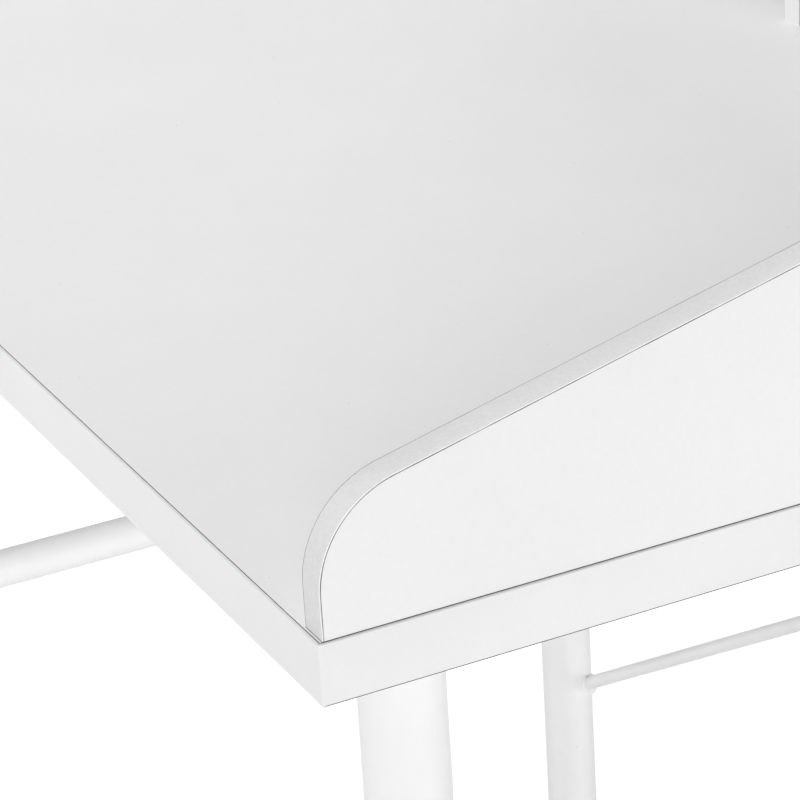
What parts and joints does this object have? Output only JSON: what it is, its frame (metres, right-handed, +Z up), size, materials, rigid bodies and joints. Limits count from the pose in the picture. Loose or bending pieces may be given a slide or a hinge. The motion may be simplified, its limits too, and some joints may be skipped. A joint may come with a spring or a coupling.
{
  "type": "computer desk",
  "caption": "White computer desk: edge-banded top with sloping rounded side panels and a raised rear shelf over a divided bay, on braced tube legs with levelling feet.",
  "frame": {"origin": "on the floor, under the centre of the desktop", "axes": "+X to the sitter's right, +Y to the back of the desk, +Z up"},
  "size_m": [0.84, 0.56, 0.9233],
  "materials": {
    "white_laminate_board": "satin",
    "white_edge_band": "satin",
    "white_painted_tube": "satin",
    "foot_plastic": "matte",
    "zinc_steel": "satin",
    "beech_dowel": "matte"
  },
  "bodies": {
    "desk": {"desktop": "white_laminate_board", "side_panel_left": "white_laminate_board", "side_panel_right": "white_laminate_board", "back_panel": "white_laminate_board", "shelf": "white_laminate_board", "divider": "white_laminate_board", "desktop_band_front": "white_edge_band", "desktop_band_right": "white_edge_band", "desktop_band_rear": "white_edge_band", "desktop_band_left": "white_edge_band", "side_panel_band_left": "white_edge_band", "side_panel_band_right": "white_edge_band", "back_panel_band": "white_edge_band", "shelf_band": "white_edge_band", "divider_band": "white_edge_band", "leg_front_left": "white_painted_tube", "leg_front_right": "white_painted_tube", "leg_rear_left": "white_painted_tube", "leg_rear_right": "white_painted_tube", "leg_plate_front_left": "white_painted_tube", "leg_plate_front_right": "white_painted_tube", "leg_plate_rear_left": "white_painted_tube", "leg_plate_rear_right": "white_painted_tube", "side_stretcher_left": "white_painted_tube", "side_stretcher_right": "white_painted_tube", "brace_rod_rising_right": "white_painted_tube", "brace_rod_rising_left": "white_painted_tube", "brace_welds": "white_painted_tube", "foot_insert_front_left": "foot_plastic", "foot_insert_front_right": "foot_plastic", "foot_insert_rear_left": "foot_plastic", "foot_insert_rear_right": "foot_plastic", "stretcher_plugs": "foot_plastic", "stretcher_bolts": "zinc_steel", "plate_screws": "zinc_steel", "panel_screws": "zinc_steel", "back_screws": "zinc_steel", "shelf_cams": "zinc_steel", "shelf_cam_bolts": "zinc_steel", "dowels": "beech_dowel"},
    "foot_front_left": {"foot_stem_front_left": "zinc_steel", "foot_pad_front_left": "foot_plastic"},
    "foot_front_right": {"foot_stem_front_right": "zinc_steel", "foot_pad_front_right": "foot_plastic"},
    "foot_rear_left": {"foot_stem_rear_left": "zinc_steel", "foot_pad_rear_left": "foot_plastic"},
    "foot_rear_right": {"foot_stem_rear_right": "zinc_steel", "foot_pad_rear_right": "foot_plastic"}
  },
  "joints": [
    {"name": "foot_front_left_level", "type": "slide", "parent": "desk", "child": "foot_front_left", "axis": [0, 0, -1], "range_m": [0, 0.012]},
    {"name": "foot_front_right_level", "type": "slide", "parent": "desk", "child": "foot_front_right", "axis": [0, 0, -1], "range_m": [0, 0.012]},
    {"name": "foot_rear_left_level", "type": "slide", "parent": "desk", "child": "foot_rear_left", "axis": [0, 0, -1], "range_m": [0, 0.012]},
    {"name": "foot_rear_right_level", "type": "slide", "parent": "desk", "child": "foot_rear_right", "axis": [0, 0, -1], "range_m": [0, 0.012]}
  ]
}
